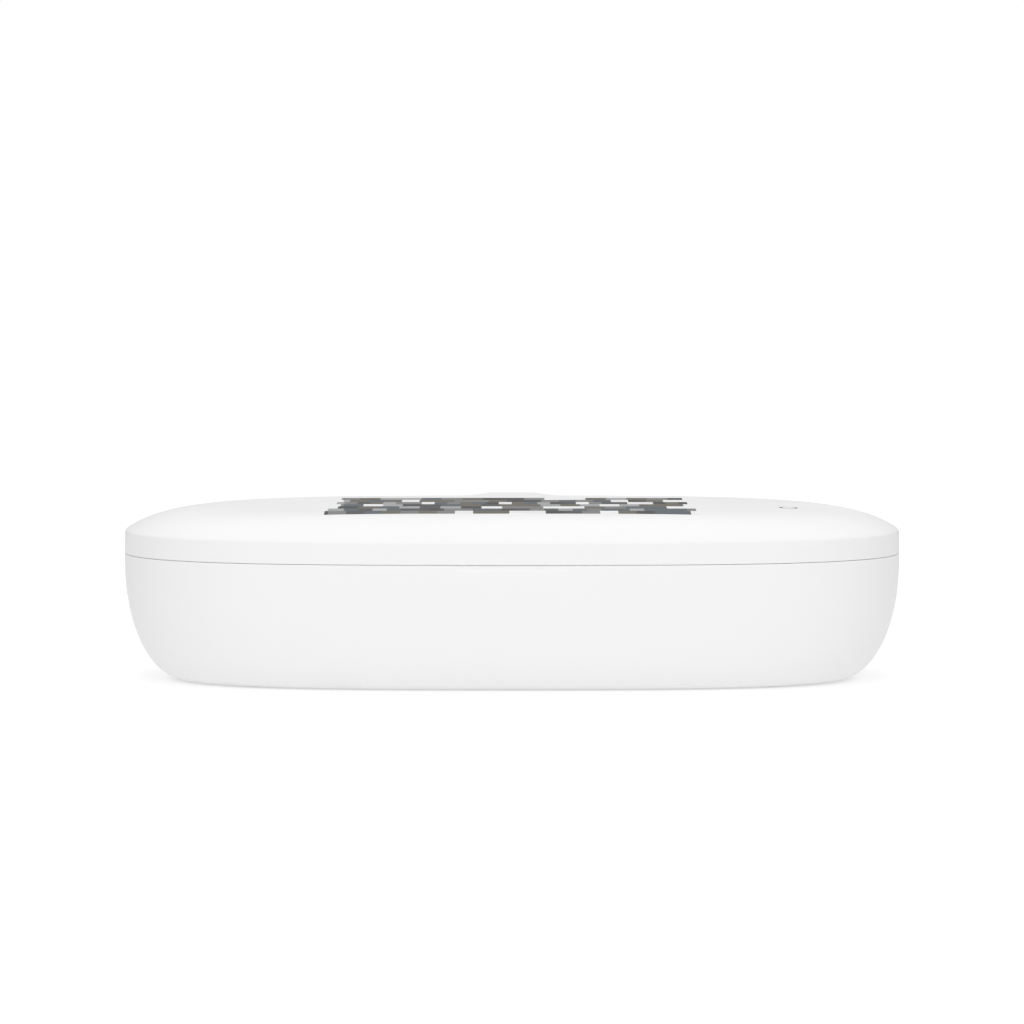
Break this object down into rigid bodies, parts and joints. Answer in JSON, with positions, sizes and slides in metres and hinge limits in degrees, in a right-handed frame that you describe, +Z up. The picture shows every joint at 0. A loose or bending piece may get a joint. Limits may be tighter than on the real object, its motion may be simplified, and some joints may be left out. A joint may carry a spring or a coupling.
{
  "type": "uv sanitizer box for phones",
  "caption": "Rounded clamshell case with a rear-hinged domed lid, a mirrored ultraviolet chamber for a phone, a wireless charging coil and a power button on the lid.",
  "frame": {"origin": "on the table plane, under the middle of the casing with its hinge barrel, to within the width of that barrel", "axes": "+X to the right seen from the front, +Y from the finger scoop to the hinge, +Z up"},
  "size_m": [0.226, 0.1284, 0.0507],
  "materials": {
    "case_white": "fine matte white moulding",
    "mirror_liner": "vapour-coated mirror finish",
    "gasket_grey": "soft matte",
    "rail_clear": "clear, polished",
    "quartz": "polished quartz",
    "board_green": "solder resist",
    "board_white": "white solder resist",
    "lamp_ceramic": "ceramic package",
    "chip_black": "moulded package",
    "socket_steel": "drawn steel",
    "screw_steel": "plated steel",
    "pin_steel": "ground steel",
    "foot_rubber": "light grey, matte",
    "magnet_nickel": "nickel plated",
    "hinge_white": "fine matte white moulding",
    "coil_copper": "enamelled copper wire",
    "ferrite": "sintered, dull",
    "ring_grey": "satin grey",
    "button_white": "satin white"
  },
  "bodies": {
    "base": {"base_shell": "case_white", "chamber_tray": "mirror_liner", "rim_gasket": "gasket_grey", "phone_rails": "rail_clear", "lower_windows": "quartz", "lower_lamp_board": "board_white", "lower_lamps": "lamp_ceramic", "lower_board_screws": "screw_steel", "main_board": "board_green", "main_board_parts": "chip_black", "usb_socket": "socket_steel", "main_board_screws": "screw_steel", "rubber_feet": "foot_rubber", "tray_screws": "screw_steel", "base_magnets": "magnet_nickel", "lid_sensor": "chip_black", "hinge_bracket": "hinge_white", "bracket_screws": "screw_steel", "hinge_pin": "pin_steel"},
    "lid": {"lid_shell": "case_white", "lid_liner": "mirror_liner", "upper_windows": "quartz", "upper_lamp_board": "board_white", "upper_lamps": "lamp_ceramic", "upper_board_screws": "screw_steel", "charging_coil": "coil_copper", "coil_shield": "ferrite", "charging_board": "board_green", "charging_board_parts": "chip_black", "hinge_arm": "hinge_white", "arm_screws": "screw_steel", "liner_screws": "screw_steel", "lid_magnets": "magnet_nickel", "light_ring": "ring_grey", "button_board": "board_green", "button_switch": "chip_black"},
    "button": {"power_button": "button_white"}
  },
  "joints": [
    {"name": "lid_hinge", "type": "hinge", "parent": "base", "child": "lid", "pos_m": [0, 0.0622, 0.036], "axis": [-1, 0, 0], "range_deg": [0, 100]},
    {"name": "button_press", "type": "slide", "parent": "lid", "child": "button", "axis": [0, 0, -1], "range_m": [0, 0.0005], "stiffness_N_per_m": 400}
  ]
}
